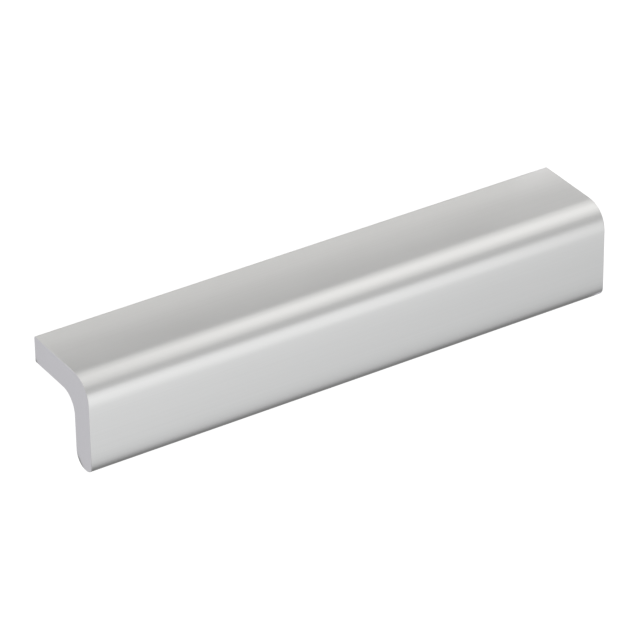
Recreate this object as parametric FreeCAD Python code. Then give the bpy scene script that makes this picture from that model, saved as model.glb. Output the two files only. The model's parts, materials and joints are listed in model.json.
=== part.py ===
"""A finger pull for a cabinet door or drawer front, cut from one length of aluminium profile.

The profile is an L of even wall. Its flat flange stands out from the door, turns down through a
generous round corner, and ends in a lip that the fingers hook behind. The lip's tip is rounded more on
its finger side than in front. The flange's flat back face seats on the door, and two blind tapped
holes in it take machine screws from inside the cupboard.

The section is drawn as fitted to a door: y points back to the door, z points up, and x runs along
the length. The finished bar is then laid on a level surface as it comes to rest when it is put down:
it leans on the tip of its lip and on the lower edge of its back face. The origin is on that surface,
under the middle of the bar. All sizes are in millimetres.
"""

import FreeCAD
import Part

import math
import os

LENGTH = 144.0
PROJECTION = 25.0
DROP = 25.0
WALL = 7.0
OUTER_BEND_RADIUS = 6.0
INNER_BEND_RADIUS = 5.0
TIP_FRONT_RADIUS = 2.6
TIP_LAND = 0.7
BACK_EDGE_RADIUS = 0.5
END_EDGE_BREAK = 0.2

SCREW_SPACING = 128.0
TAP_DRILL_DIAMETER = 3.3
TAPPED_DEPTH = 12.0
DRILL_POINT_ANGLE = 118.0
MOUTH_DIAMETER = 4.4

TIP_FINGER_RADIUS = WALL - TIP_LAND - TIP_FRONT_RADIUS
NODE = "finger_pull_profile"


def arc(centre_y, centre_z, radius, from_degrees, to_degrees):
    """An arc in the section's plane. 0 degrees points back to the door, and 90 points up."""

    def on_arc(degrees):
        angle = math.radians(degrees)
        return FreeCAD.Vector(0, centre_y + radius * math.cos(angle), centre_z + radius * math.sin(angle))

    middle = (from_degrees + to_degrees) / 2
    return Part.Arc(on_arc(from_degrees), on_arc(middle), on_arc(to_degrees)).toShape()


def outer_bend():
    return arc(-PROJECTION + OUTER_BEND_RADIUS, -OUTER_BEND_RADIUS, OUTER_BEND_RADIUS, 90, 180)


def tip_front():
    return arc(-PROJECTION + TIP_FRONT_RADIUS, -DROP + TIP_FRONT_RADIUS, TIP_FRONT_RADIUS, 180, 270)


def tip_finger_side():
    centre_y = -PROJECTION + WALL - TIP_FINGER_RADIUS
    return arc(centre_y, -DROP + TIP_FINGER_RADIUS, TIP_FINGER_RADIUS, 270, 360)


def inner_bend():
    centre_y = -PROJECTION + WALL + INNER_BEND_RADIUS
    return arc(centre_y, -WALL - INNER_BEND_RADIUS, INNER_BEND_RADIUS, 180, 90)


def back_lower_edge():
    return arc(-BACK_EDGE_RADIUS, -WALL + BACK_EDGE_RADIUS, BACK_EDGE_RADIUS, -90, 0)


def back_upper_edge():
    return arc(-BACK_EDGE_RADIUS, -BACK_EDGE_RADIUS, BACK_EDGE_RADIUS, 0, 90)


def section_outline():
    """The section's round corners in order, joined by the straight faces between them.

    The zero of the section is the sharp corner that the top and the back face would meet in.
    """
    corners = [
        outer_bend(),
        tip_front(),
        tip_finger_side(),
        inner_bend(),
        back_lower_edge(),
        back_upper_edge(),
    ]
    edges = []
    for corner, following in zip(corners, corners[1:] + corners[:1]):
        edges.append(corner)
        edges.append(Part.makeLine(corner.lastVertex().Point, following.firstVertex().Point))
    return Part.Wire(edges)


def cut_length():
    """The section run along the length, cut square at both ends and lightly deburred round them."""
    face = Part.Face(section_outline())
    face.translate(FreeCAD.Vector(-LENGTH / 2, 0, 0))
    bar = face.extrude(FreeCAD.Vector(LENGTH, 0, 0))
    end_edges = [edge for edge in bar.Edges if abs(edge.CenterOfMass.x) > LENGTH / 2 - END_EDGE_BREAK]
    return bar.makeChamfer(END_EDGE_BREAK, end_edges)


def screw_hole(x):
    """The space of one blind hole: a bevelled mouth, the wall left by the tap drill, and its point."""
    drill_radius = TAP_DRILL_DIAMETER / 2
    mouth_radius = MOUTH_DIAMETER / 2
    bevel_depth = mouth_radius - drill_radius
    wall_end = bevel_depth + TAPPED_DEPTH
    point_end = wall_end + drill_radius / math.tan(math.radians(DRILL_POINT_ANGLE / 2))
    half_profile = [
        FreeCAD.Vector(0, 0, 0),
        FreeCAD.Vector(mouth_radius, 0, 0),
        FreeCAD.Vector(drill_radius, -bevel_depth, 0),
        FreeCAD.Vector(drill_radius, -wall_end, 0),
        FreeCAD.Vector(0, -point_end, 0),
    ]
    face = Part.Face(Part.makePolygon(half_profile, True))
    hole = face.revolve(FreeCAD.Vector(0, 0, 0), FreeCAD.Vector(0, 1, 0), 360)
    hole.translate(FreeCAD.Vector(x, 0, -WALL / 2))
    return hole


def resting_angle():
    """The turn about the length, in degrees, that sets the tip and the back's lower edge level.

    Both are round, so the surface lies along the line that touches the two circles from below.
    """
    run = (PROJECTION - WALL + TIP_FINGER_RADIUS) - BACK_EDGE_RADIUS
    rise = (DROP - TIP_FINGER_RADIUS) - (WALL - BACK_EDGE_RADIUS)
    between_centres = math.hypot(run, rise)
    slope_of_centres = math.atan2(rise, run)
    slope_from_radii = math.asin((TIP_FINGER_RADIUS - BACK_EDGE_RADIUS) / between_centres)
    return math.degrees(slope_of_centres + slope_from_radii)


def laid_down(bar):
    """Turns the bar to its resting angle and sets it on the surface, centred on the origin."""
    bar.rotate(FreeCAD.Vector(0, 0, 0), FreeCAD.Vector(1, 0, 0), -resting_angle())
    box = bar.optimalBoundingBox(False)
    bar.translate(FreeCAD.Vector(0, -box.Center.y, -box.ZMin))
    return bar


def finger_pull_profile():
    bar = cut_length()
    for x in (-SCREW_SPACING / 2, SCREW_SPACING / 2):
        bar = bar.cut(screw_hole(x))
    return laid_down(bar)


def main():
    os.makedirs("parts", exist_ok=True)
    bar = finger_pull_profile()
    bar.exportStep(f"parts/{NODE}.step")
    box = bar.optimalBoundingBox(False)
    print(f"{NODE}: {box.XLength:.2f} x {box.YLength:.2f} x {box.ZLength:.2f} mm, {bar.Volume:.0f} mm3")
    print(f"resting angle {resting_angle():.3f} degrees, solids {len(bar.Solids)}, valid {bar.isValid()}")


main()
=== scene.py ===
import json
import math

import bmesh
import bpy
from mathutils import Matrix, Vector


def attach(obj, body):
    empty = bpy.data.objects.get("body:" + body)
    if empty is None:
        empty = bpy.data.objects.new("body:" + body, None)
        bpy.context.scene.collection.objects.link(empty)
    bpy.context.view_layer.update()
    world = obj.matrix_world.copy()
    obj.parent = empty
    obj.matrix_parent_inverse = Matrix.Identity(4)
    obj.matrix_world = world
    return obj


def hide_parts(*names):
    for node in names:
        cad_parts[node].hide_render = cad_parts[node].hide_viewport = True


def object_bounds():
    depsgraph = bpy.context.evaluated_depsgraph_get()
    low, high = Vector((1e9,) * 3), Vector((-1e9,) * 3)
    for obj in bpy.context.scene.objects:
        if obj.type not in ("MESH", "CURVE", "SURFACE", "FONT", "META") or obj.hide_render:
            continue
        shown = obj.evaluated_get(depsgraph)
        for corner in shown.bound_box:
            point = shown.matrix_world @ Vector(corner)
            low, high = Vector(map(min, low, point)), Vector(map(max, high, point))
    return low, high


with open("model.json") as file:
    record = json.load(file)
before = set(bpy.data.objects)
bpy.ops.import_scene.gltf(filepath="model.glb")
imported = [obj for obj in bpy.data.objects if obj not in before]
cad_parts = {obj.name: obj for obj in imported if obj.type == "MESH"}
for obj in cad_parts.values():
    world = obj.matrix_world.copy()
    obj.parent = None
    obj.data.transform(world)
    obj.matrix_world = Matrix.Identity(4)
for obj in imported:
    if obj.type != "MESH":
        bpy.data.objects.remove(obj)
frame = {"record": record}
cad_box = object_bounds()

# The bar: one length of extruded aluminium profile, an L of even wall with a generous round outside
# corner, a rounded finger lip and a flat back face. It lies as it comes to rest, on the tip of the lip
# and the lower edge of the back face, so it is shaped as fitted to a door and then turned to that pose.
PROJECTION = 0.025
DROP = 0.025
WALL = 0.007
OUTER_BEND_RADIUS = 0.006
INNER_BEND_RADIUS = 0.005
TIP_FRONT_RADIUS = 0.0026
TIP_LAND = 0.0007
TIP_FINGER_RADIUS = WALL - TIP_LAND - TIP_FRONT_RADIUS
BACK_EDGE_RADIUS = 0.0005
END_EDGE_RADIUS = 0.0002
TOUCHING = 1e-6

length = cad_box[1].x - cad_box[0].x
mounts = {mount["name"]: mount for mount in frame["record"]["mounts"]}
back_face_middle = Vector(mounts["back_face"]["pos_m"])
back_face_normal = Vector(mounts["back_face"]["axis"])
resting_angle = math.atan2(-back_face_normal.z, back_face_normal.y)
turn_to_rest = Matrix.Rotation(-resting_angle, 4, "X")
to_rest = Matrix.Translation(back_face_middle) @ turn_to_rest @ Matrix.Translation((0, 0, WALL / 2))


def along_the_length(mesh, y, z):
    """The long edge of the bar that runs through that point of the section."""
    for edge in mesh.edges:
        near, far = (vert.co for vert in edge.verts)
        if abs(near.x - far.x) < length / 2:
            continue
        if math.hypot(near.y - y, near.z - z) < TOUCHING:
            return edge
    raise ValueError("no edge there")


def round_edges(mesh, edges, radius, segments):
    bmesh.ops.bevel(
        mesh, geom=edges, offset=radius, offset_type="OFFSET", segments=segments, profile=0.5,
        affect="EDGES", clamp_overlap=False, material=-1,
    )


# Each corner of the section by its y and z, with the radius it is rounded to and the strips it gets.
section_corners = {
    (-PROJECTION, 0.0): (OUTER_BEND_RADIUS, 32),
    (-PROJECTION, -DROP): (TIP_FRONT_RADIUS, 30),
    (-PROJECTION + WALL, -DROP): (TIP_FINGER_RADIUS, 24),
    (-PROJECTION + WALL, -WALL): (INNER_BEND_RADIUS, 28),
    (0.0, -WALL): (BACK_EDGE_RADIUS, 6),
    (0.0, 0.0): (BACK_EDGE_RADIUS, 6),
}
bar = bmesh.new()
outline = [bar.verts.new((-length / 2, y, z)) for y, z in section_corners]
start_face = bar.faces.new(outline)
extruded = bmesh.ops.extrude_face_region(bar, geom=[start_face])
moved = [part for part in extruded["geom"] if isinstance(part, bmesh.types.BMVert)]
bmesh.ops.translate(bar, verts=moved, vec=(length, 0, 0))
bmesh.ops.recalc_face_normals(bar, faces=bar.faces)
for (y, z), (radius, segments) in section_corners.items():
    round_edges(bar, [along_the_length(bar, y, z)], radius, segments)

# Brushing eases the start and the end of the outer bend and of the lip's front edge, so the outer faces
# run into them without a line. The faces are cut into strips as narrow as the bend's own, and smoothed.
STRIPS_BESIDE_THE_BEND = 61
BRUSHING_PASSES = 36
SQUARE_ON = 0.99999
LEANING = 1e-4


def is_an_end(face):
    return abs(face.normal.x) > 0.5


flats = [face for face in bar.faces if max(face.normal.z, -face.normal.y) > SQUARE_ON]
flat_ends = {edge for face in flats for edge in face.edges if edge.calc_length() < length / 2}
bmesh.ops.subdivide_edges(bar, edges=list(flat_ends), cuts=STRIPS_BESIDE_THE_BEND - 1, use_only_quads=True)
outer_strips = {
    face for face in bar.faces
    if face.normal.z > LEANING - 1 and face.normal.y < LEANING and not is_an_end(face)
}
between_strips = [vert for vert in bar.verts if len(outer_strips.intersection(vert.link_faces)) == 2]
for _ in range(BRUSHING_PASSES):
    bmesh.ops.smooth_vert(bar, verts=between_strips, factor=0.5, use_axis_y=True, use_axis_z=True)

# The two ends are sawn square across and lightly deburred all round. Their edges are rounded last, where
# the sawn face meets the drawn skin, and the narrow rounding belongs to the skin or the cut beside it.
SKIN, CUT, THREAD = 0, 1, 2

for face in bar.faces:
    face.material_index = CUT if is_an_end(face) else SKIN
end_edges = [edge for edge in bar.edges if len({face.material_index for face in edge.link_faces}) == 2]
round_edges(bar, end_edges, END_EDGE_RADIUS, 4)

# The screw holes: each is drilled into the back face, has a bevelled mouth, and is tapped M4 with a
# coarse thread. The thread is cut a little shorter than the drilled wall and runs out at both ends.
MOUTH_RADIUS = 0.0022
THREAD_PITCH = 0.0007
THREAD_DEPTH = 0.00036
RINGS_PER_TURN = 10
POINTS_ROUND = 40
DRILL_POINT_ANGLE = math.radians(118)
DRILL_START = 0.001


def screw_hole(x, wall_radius, wall_length):
    """The closed space of one hole, with its mouth in the plane y = 0 and its thread round its wall."""
    bevel_depth = MOUTH_RADIUS - wall_radius
    wall_end = bevel_depth + wall_length
    point_end = wall_end + wall_radius / math.tan(DRILL_POINT_ANGLE / 2)
    half_profile = [(0, DRILL_START), (MOUTH_RADIUS + DRILL_START, DRILL_START), (wall_radius, -bevel_depth)]
    half_profile += [(wall_radius, -wall_end), (0, -point_end)]
    hole = bmesh.new()
    points = [hole.verts.new((radius, y, 0)) for radius, y in half_profile]
    lines = [hole.edges.new(pair) for pair in zip(points, points[1:])]
    wall = lines[2]
    rings = round(wall_length / THREAD_PITCH * RINGS_PER_TURN)
    bmesh.ops.subdivide_edges(hole, edges=[wall], cuts=rings - 1)
    bmesh.ops.spin(
        hole, geom=hole.verts[:] + hole.edges[:], cent=(0, 0, 0), axis=(0, 1, 0), dvec=(0, 0, 0),
        angle=2 * math.pi, steps=POINTS_ROUND, use_merge=True,
    )
    bmesh.ops.remove_doubles(hole, verts=hole.verts, dist=TOUCHING / 10)
    bmesh.ops.recalc_face_normals(hole, faces=hole.faces)
    for vert in hole.verts:
        depth = -vert.co.y - bevel_depth
        on_the_wall = -TOUCHING < depth < wall_length + TOUCHING
        if not on_the_wall or math.hypot(vert.co.x, vert.co.z) < wall_radius / 2:
            continue
        turned = math.atan2(vert.co.z, vert.co.x) / (2 * math.pi)
        phase = (depth / THREAD_PITCH + turned) % 1
        flank = 1 - abs(2 * phase - 1)
        run_out = min(1, depth / THREAD_PITCH, (wall_length - depth) / THREAD_PITCH)
        growth = 1 + THREAD_DEPTH * flank * max(0, run_out) / wall_radius
        vert.co.x *= growth
        vert.co.z *= growth
    for face in hole.faces:
        face.material_index = THREAD
    bmesh.ops.translate(hole, verts=hole.verts, vec=(x, 0, -WALL / 2))
    bmesh.ops.transform(hole, matrix=to_rest, verts=hole.verts)
    return hole


def as_object(mesh, name):
    data = bpy.data.meshes.new(name)
    mesh.to_mesh(data)
    mesh.free()
    made = bpy.data.objects.new(name, data)
    bpy.context.scene.collection.objects.link(made)
    return made


bmesh.ops.transform(bar, matrix=to_rest, verts=bar.verts)
profile = as_object(bar, "brushed_profile")
for name in ("screw_hole_left", "screw_hole_right"):
    sizes = mounts[name]["dims"]
    place = mounts[name]["pos_m"]
    hole = as_object(screw_hole(place[0], sizes["r_mm"] / 1000, sizes["length_mm"] / 1000), name)
    cut = profile.modifiers.new(name, "BOOLEAN")
    cut.object = hole
    cut.solver = "EXACT"
    drilled = bpy.data.meshes.new_from_object(profile.evaluated_get(bpy.context.evaluated_depsgraph_get()))
    profile.modifiers.remove(cut)
    profile.data = drilled
    bpy.data.objects.remove(hole)

profile.data.shade_smooth()
profile.data.set_sharp_from_angle(angle=math.radians(35))
weighted = profile.modifiers.new("flat faces stay flat", "WEIGHTED_NORMAL")
weighted.keep_sharp = True

# The finish. The drawn skin is satin anodised over the fine lines that the die leaves along the length.
# The ends are sawn across and blasted, so they are matter; the cool tint of their colour is a painted
# reflection of cool light. The threads are bare, bright metal.


def metal(name, colour, roughness):
    material = bpy.data.materials.new(name)
    material.use_nodes = True
    shader = material.node_tree.nodes["Principled BSDF"]
    shader.inputs["Base Color"].default_value = (*colour, 1)
    shader.inputs["Metallic"].default_value = 1
    shader.inputs["Roughness"].default_value = roughness
    return material


def grain(material, lines_per_metre, detail):
    """Fine noise on the metal, drawn out along the axes that have few lines to the metre."""
    nodes, links = material.node_tree.nodes, material.node_tree.links
    place = nodes.new("ShaderNodeTexCoord")
    stretch = nodes.new("ShaderNodeMapping")
    stretch.inputs["Scale"].default_value = lines_per_metre
    noise = nodes.new("ShaderNodeTexNoise")
    noise.inputs["Scale"].default_value = 1
    noise.inputs["Detail"].default_value = detail
    links.new(place.outputs["Object"], stretch.inputs["Vector"])
    links.new(stretch.outputs["Vector"], noise.inputs["Vector"])
    return noise.outputs["Fac"]


def spread(material, pattern, low, high):
    """The pattern, whose values lie mostly between 0.3 and 0.7, spread out from low to high."""
    nodes, links = material.node_tree.nodes, material.node_tree.links
    reach = nodes.new("ShaderNodeMapRange")
    reach.inputs["From Min"].default_value = 0.3
    reach.inputs["From Max"].default_value = 0.7
    reach.inputs["To Min"].default_value = low
    reach.inputs["To Max"].default_value = high
    links.new(pattern, reach.inputs["Value"])
    return reach.outputs["Result"]


def shade_with(material, pattern, dark, light):
    nodes, links = material.node_tree.nodes, material.node_tree.links
    colours = nodes.new("ShaderNodeMixRGB")
    colours.inputs["Color1"].default_value = (*dark, 1)
    colours.inputs["Color2"].default_value = (*light, 1)
    links.new(spread(material, pattern, 0, 1), colours.inputs["Fac"])
    links.new(colours.outputs["Color"], nodes["Principled BSDF"].inputs["Base Color"])


def roughen_with(material, pattern, smooth, rough):
    nodes, links = material.node_tree.nodes, material.node_tree.links
    links.new(spread(material, pattern, smooth, rough), nodes["Principled BSDF"].inputs["Roughness"])


def relief_with(material, patterns_and_heights):
    """Lets each pattern stand out from the surface by its height in metres."""
    nodes, links = material.node_tree.nodes, material.node_tree.links
    below = None
    for pattern, height in patterns_and_heights:
        bump = nodes.new("ShaderNodeBump")
        bump.inputs["Distance"].default_value = height
        links.new(pattern, bump.inputs["Height"])
        if below:
            links.new(below, bump.inputs["Normal"])
        below = bump.outputs["Normal"]
    links.new(below, nodes["Principled BSDF"].inputs["Normal"])


satin = metal("satin_anodised", (0.80, 0.80, 0.792), 0.33)
die_lines = grain(satin, lines_per_metre=(9, 2600, 2600), detail=2)
hairlines = grain(satin, lines_per_metre=(45, 9000, 9000), detail=1)
anodised_bloom = grain(satin, lines_per_metre=(35, 140, 140), detail=2)
shade_with(satin, die_lines, dark=(0.792, 0.792, 0.784), light=(0.808, 0.808, 0.8))
roughen_with(satin, anodised_bloom, smooth=0.315, rough=0.345)
relief_with(satin, [(die_lines, 0.0000012), (hairlines, 0.0000004)])

# The cool tint of the ends' colour is a painted reflection of cool light.
sawn = metal("sawn_end", (0.70, 0.69, 0.73), 0.5)
saw_lines = grain(sawn, lines_per_metre=(1, 350, 5200), detail=2)
blasted_grain = grain(sawn, lines_per_metre=(4000, 4000, 4000), detail=2)
shade_with(sawn, saw_lines, dark=(0.682, 0.674, 0.712), light=(0.712, 0.704, 0.742))
roughen_with(sawn, blasted_grain, smooth=0.46, rough=0.56)
relief_with(sawn, [(saw_lines, 0.000003), (blasted_grain, 0.000004)])

bright = metal("cut_thread", (0.86, 0.86, 0.85), 0.2)
tap_marks = grain(bright, lines_per_metre=(3500, 3500, 3500), detail=2)
shade_with(bright, tap_marks, dark=(0.82, 0.82, 0.81), light=(0.89, 0.89, 0.88))
roughen_with(bright, tap_marks, smooth=0.17, rough=0.27)

profile.data.materials.clear()
for material in (satin, sawn, bright):
    profile.data.materials.append(material)
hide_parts("finger_pull_profile")
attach(profile, "root")

# The table: plain, pale and level. It glows evenly, so no shadow shows on it, and the metal doesn't see
# it: what the metal mirrors from below comes from the cards.
FLOOR_SIZE = 8.0

floor_mesh = bmesh.new()
bmesh.ops.create_grid(floor_mesh, x_segments=1, y_segments=1, size=FLOOR_SIZE / 2)
floor = as_object(floor_mesh, "floor")
floor_material = metal("light_table", (0.2, 0.2, 0.2), 0.9)
floor_shader = floor_material.node_tree.nodes["Principled BSDF"]
floor_shader.inputs["Metallic"].default_value = 0
floor_shader.inputs["Emission Color"].default_value = (1, 1, 1, 1)
floor_shader.inputs["Emission Strength"].default_value = 0.95
floor.data.materials.append(floor_material)
floor.visible_glossy = False

# The cards that only the metal sees lie just above the table: behind the bar, in its hollow and beside
# both ends. One more lies in the plane of the lip's front face, beyond the tip. It is dark beside the tip,
# a painted shade that the lip mirrors in place of the table's shadow at the tip.
WARM = (1.0, 0.99, 0.972)
COOL = (0.982, 0.99, 1.0)
LILAC = (0.955, 0.945, 1.0)
CARD_HEIGHT = 0.0003
GAP_BEHIND = 0.0355
GAP_AT_AN_END = 0.0002
GAP_AT_THE_TIP = 0.0001
HOLLOW_START = -0.012


def card(name, place, half_length, depth, colour, light, painted_shade_edge_light=None, fade=1, to_the_right=0):
    """A glowing card. Its light may rise from a dark near edge, a painted shade, over the fade, and change
    along the bar.
    """
    mesh = bmesh.new()
    bmesh.ops.create_grid(mesh, x_segments=1, y_segments=1, size=0.5)
    bmesh.ops.translate(mesh, verts=mesh.verts, vec=(0, 0.5, 0))
    bmesh.ops.scale(mesh, verts=mesh.verts, vec=(2 * half_length, depth, 1))
    made = as_object(mesh, name)
    made.matrix_world = place
    paper = bpy.data.materials.new(name)
    paper.use_nodes = True
    nodes, links = paper.node_tree.nodes, paper.node_tree.links
    nodes.remove(nodes["Principled BSDF"])
    glow = nodes.new("ShaderNodeEmission")
    glow.inputs["Color"].default_value = (*colour, 1)
    where = nodes.new("ShaderNodeTexCoord")
    parts = nodes.new("ShaderNodeSeparateXYZ")
    outward = nodes.new("ShaderNodeMapRange")
    outward.inputs["From Max"].default_value = fade
    outward.inputs["To Min"].default_value = light if painted_shade_edge_light is None else painted_shade_edge_light
    outward.inputs["To Max"].default_value = light
    along = nodes.new("ShaderNodeMapRange")
    along.inputs["From Min"].default_value = -0.1
    along.inputs["From Max"].default_value = 0.1
    along.inputs["To Min"].default_value = 1 - to_the_right
    along.inputs["To Max"].default_value = 1 + to_the_right
    both = nodes.new("ShaderNodeMath")
    both.operation = "MULTIPLY"
    links.new(where.outputs["Object"], parts.inputs[0])
    links.new(parts.outputs["Y"], outward.inputs["Value"])
    links.new(parts.outputs["X"], along.inputs["Value"])
    links.new(outward.outputs["Result"], both.inputs[0])
    links.new(along.outputs["Result"], both.inputs[1])
    links.new(both.outputs["Value"], glow.inputs["Strength"])
    links.new(glow.outputs["Emission"], nodes["Material Output"].inputs["Surface"])
    made.data.materials.append(paper)
    made.visible_camera = False
    made.visible_diffuse = False
    made.visible_shadow = False
    made.visible_transmission = False


behind_the_bar = Matrix.Translation((0, GAP_BEHIND, CARD_HEIGHT))
tip_of_the_lip = Matrix.Translation((0, -PROJECTION, -DROP - GAP_AT_THE_TIP))
before_the_tip = to_rest @ tip_of_the_lip @ Matrix.Diagonal((1, -1, -1, 1))
under_the_bar = Matrix.Translation((0, HOLLOW_START, CARD_HEIGHT))
left_end = Matrix.Translation((-length / 2 - GAP_AT_AN_END, 0, CARD_HEIGHT))
beside_the_left_end = left_end @ Matrix.Rotation(math.pi / 2, 4, "Z")
beside_the_right_end = Matrix.Rotation(math.pi, 4, "Z") @ beside_the_left_end
card("card_behind", behind_the_bar, half_length=0.6, depth=0.0235, colour=WARM, light=1.42, to_the_right=0.05)
# Its dark edge at the tip is a painted shade, standing in for the shadow on the table at the tip.
card(
    "card_before_the_lip", before_the_tip, half_length=0.3, depth=0.032, colour=COOL,
    light=0.73, painted_shade_edge_light=0.2, fade=0.0061, to_the_right=-0.09,
)
card("card_under_the_bar", under_the_bar, half_length=0.07, depth=0.028, colour=WARM, light=0.45)
card(
    "card_beside_the_left_end", beside_the_left_end, half_length=0.15, depth=0.2, colour=LILAC,
    light=0.65,
)
card(
    "card_beside_the_right_end", beside_the_right_end, half_length=0.035, depth=0.08, colour=LILAC,
    light=0.65,
)

# The room: grey all round, darker below the height of the table and brighter from a little above it.
# The change is smooth, so no edge of it shows in the metal.
world = bpy.data.worlds.new("studio")
world.use_nodes = True
bpy.context.scene.world = world
nodes, links = world.node_tree.nodes, world.node_tree.links
direction = nodes.new("ShaderNodeTexCoord")
parts = nodes.new("ShaderNodeSeparateXYZ")
height = nodes.new("ShaderNodeMapRange")
height.inputs["From Min"].default_value = -0.25
height.inputs["From Max"].default_value = 0.1
height.interpolation_type = "SMOOTHSTEP"
shade = nodes.new("ShaderNodeMixRGB")
shade.inputs["Color1"].default_value = (0.23, 0.23, 0.23, 1)
shade.inputs["Color2"].default_value = (0.54, 0.54, 0.54, 1)
links.new(direction.outputs["Generated"], parts.inputs[0])
links.new(parts.outputs["Z"], height.inputs["Value"])
links.new(height.outputs["Result"], shade.inputs["Fac"])
links.new(shade.outputs["Color"], nodes["Background"].inputs["Color"])

# The lights: a wide soft one over the bend with a brighter middle, both in a right and a left half, one
# in front of the lip, and a small one low behind the right end. They draw the bands along the bar.


def softbox(name, from_straight_up, half_angle, distance, middle_x, long_side, radiance, colour):
    """A soft light across the bar, for a bar on its door turned from straight up towards the lip."""
    light = bpy.data.lights.new(name, "AREA")
    light.shape = "RECTANGLE"
    light.size = long_side
    light.size_y = 2 * distance * math.tan(math.radians(half_angle))
    light.energy = radiance * math.pi * light.size * light.size_y
    light.color = colour
    lamp = bpy.data.objects.new(name, light)
    bpy.context.scene.collection.objects.link(lamp)
    angle = math.radians(from_straight_up)
    away = turn_to_rest @ Vector((0, -math.sin(angle), math.cos(angle)))
    facing = Matrix((Vector((1, 0, 0)), away.cross(Vector((1, 0, 0))), away)).transposed().to_4x4()
    lamp.matrix_world = Matrix.Translation(away * distance + Vector((middle_x, 0, 0))) @ facing
    lamp.visible_camera = False


for side, middle_x, share in (("right", 0.5, 1.0), ("left", -0.5, 0.94)):
    softbox(
        "over_the_bend_" + side, from_straight_up=-1, half_angle=38, distance=0.5,
        middle_x=middle_x, long_side=0.8, radiance=0.33 * share, colour=WARM,
    )
    softbox(
        "bright_middle_" + side, from_straight_up=-1, half_angle=17, distance=0.47,
        middle_x=middle_x, long_side=0.8, radiance=0.215 * share, colour=WARM,
    )
softbox(
    "low_behind_the_right_end", from_straight_up=-41, half_angle=2.5, distance=0.5,
    middle_x=0.55, long_side=0.4, radiance=0.9, colour=WARM,
)
softbox(
    "before_the_lip", from_straight_up=99.1, half_angle=26.9, distance=0.35,
    middle_x=0.0, long_side=0.6, radiance=0.49, colour=COOL,
)

# The camera looks from the front left and above with a long lens. It is placed as for the bar on its
# door and then turned with the bar, so the view is the photograph's.
VIEW_AZIMUTH = math.radians(32.0)
VIEW_ELEVATION = math.radians(31.49)
VIEW_ROLL = math.radians(-0.76)
VIEW_DISTANCE = 0.9819
VIEW_AIM = Vector((-0.00214, -0.01269, -0.01281))

camera_data = bpy.data.cameras.new("camera")
camera_data.lens = 232.6
camera_data.sensor_width = 36
camera = bpy.data.objects.new("camera", camera_data)
bpy.context.scene.collection.objects.link(camera)
turned_view = (
    Matrix.Translation(VIEW_AIM)
    @ Matrix.Rotation(-VIEW_AZIMUTH, 4, "Z")
    @ Matrix.Rotation(math.pi / 2 - VIEW_ELEVATION, 4, "X")
    @ Matrix.Rotation(VIEW_ROLL, 4, "Z")
    @ Matrix.Translation((0, 0, VIEW_DISTANCE))
)
camera.matrix_world = to_rest @ turned_view
bpy.context.scene.camera = camera
bpy.context.scene.view_settings.view_transform = "Standard"
